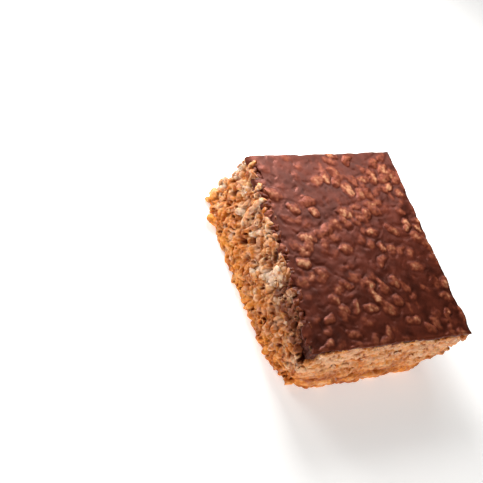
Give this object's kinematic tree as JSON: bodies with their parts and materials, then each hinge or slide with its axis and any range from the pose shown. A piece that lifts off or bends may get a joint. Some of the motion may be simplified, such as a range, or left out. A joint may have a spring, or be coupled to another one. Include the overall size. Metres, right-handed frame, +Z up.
{
  "type": "crispy cake",
  "caption": "Flat rectangular block of puffed rice bound with caramel, under a poured milk chocolate layer with rice bumps pressing through its top.",
  "frame": {"origin": "middle of the whole cake in plan, on the flat base", "axes": "+Z up through the chocolate, +Y along the longer side from the front wall to the back wall, +X to the right wall"},
  "size_m": [0.0664, 0.0752, 0.0228],
  "materials": {
    "caramel_rice": "puffed rice in sticky caramel, half matt",
    "milk_chocolate": "set milk chocolate, satin"
  },
  "bodies": {
    "root": {"rice_base": "caramel_rice", "chocolate_top": "milk_chocolate"}
  },
  "joints": []
}
